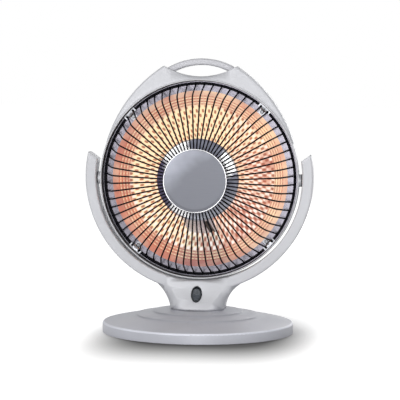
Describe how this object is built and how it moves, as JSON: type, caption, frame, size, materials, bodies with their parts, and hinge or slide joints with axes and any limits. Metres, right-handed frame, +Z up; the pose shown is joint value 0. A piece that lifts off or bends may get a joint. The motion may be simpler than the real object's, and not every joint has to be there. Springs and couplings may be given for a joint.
{
  "type": "parabolic heater",
  "caption": "Radiant heater with a dished reflector, wire guard and handle on a round base; the head tilts in a U-shaped yoke and a rocker switch sits in the neck.",
  "frame": {"origin": "middle of the round base, on the floor under the rubber feet", "axes": "+Z up, -Y the way the heater faces, +X to the viewer's right"},
  "size_m": [0.3298, 0.276, 0.3965],
  "materials": {
    "base_plastic": "silver-grey moulded plastic, satin",
    "shell_plastic": "silver painted plastic, satin",
    "handle_plastic": "silver painted plastic, satin",
    "dark_steel": "black painted sheet steel",
    "steel": "zinc plated steel",
    "clip_steel": "bright sheet steel",
    "feet_rubber": "black rubber",
    "gland_rubber": "black rubber",
    "ballast_iron": "rough steel weight",
    "switch_case": "dark moulded plastic",
    "switch_black": "black, glossy",
    "rocker_black": "black, glossy",
    "washer_fibre": "fibre washer",
    "reflector_metal": "bright dimpled sheet",
    "guard_black": "black enamelled wire",
    "disc_steel": "satin brushed",
    "trim_chrome": "polished",
    "core_ceramic": "white ceramic",
    "socket_ceramic": "white ceramic",
    "coil_wire": "glowing resistance wire",
    "block_plastic": "ivory terminal plastic",
    "sleeve_black": "varnished glass-fibre sleeve",
    "cutout_case": "small metal can"
  },
  "bodies": {
    "stand": {"base_cover": "base_plastic", "base_plate": "dark_steel", "base_screws": "steel", "rubber_feet": "feet_rubber", "ballast_ring": "ballast_iron", "neck_clamp_plate": "steel", "neck_screws": "steel", "cord_gland": "gland_rubber", "tilt_switch": "switch_case", "yoke_front": "shell_plastic", "yoke_rear": "shell_plastic", "yoke_screws": "steel", "switch_bezel": "switch_black", "switch_body": "switch_case"},
    "head": {"hood_shell": "shell_plastic", "rear_housing": "shell_plastic", "shell_screws": "steel", "handle": "handle_plastic", "handle_screws": "steel", "axle_left": "steel", "axle_right": "steel", "friction_washers": "washer_fibre", "axle_springs": "steel", "axle_nuts": "steel", "reflector": "reflector_metal", "wire_guard": "guard_black", "guard_clips": "clip_steel", "clip_screws": "steel", "centre_disc": "disc_steel", "disc_trim_ring": "trim_chrome", "disc_clamp_plate": "clip_steel", "ceramic_core": "core_ceramic", "heating_coil": "coil_wire", "element_socket": "socket_ceramic", "socket_bracket": "clip_steel", "lead_sleeves": "sleeve_black", "bracket_spacers": "steel", "bracket_screws": "steel", "terminal_block": "block_plastic", "thermal_cutout": "cutout_case"},
    "rocker": {"switch_rocker": "rocker_black"}
  },
  "joints": [
    {"name": "head_tilt", "type": "hinge", "parent": "stand", "child": "head", "pos_m": [0, 0.004, 0.2225], "axis": [-1, 0, 0], "range_deg": [-10, 30]},
    {"name": "rocker_tilt", "type": "hinge", "parent": "stand", "child": "rocker", "pos_m": [0, -0.01557, 0.05583], "axis": [-1, 0, 0], "range_deg": [0, 14]}
  ]
}
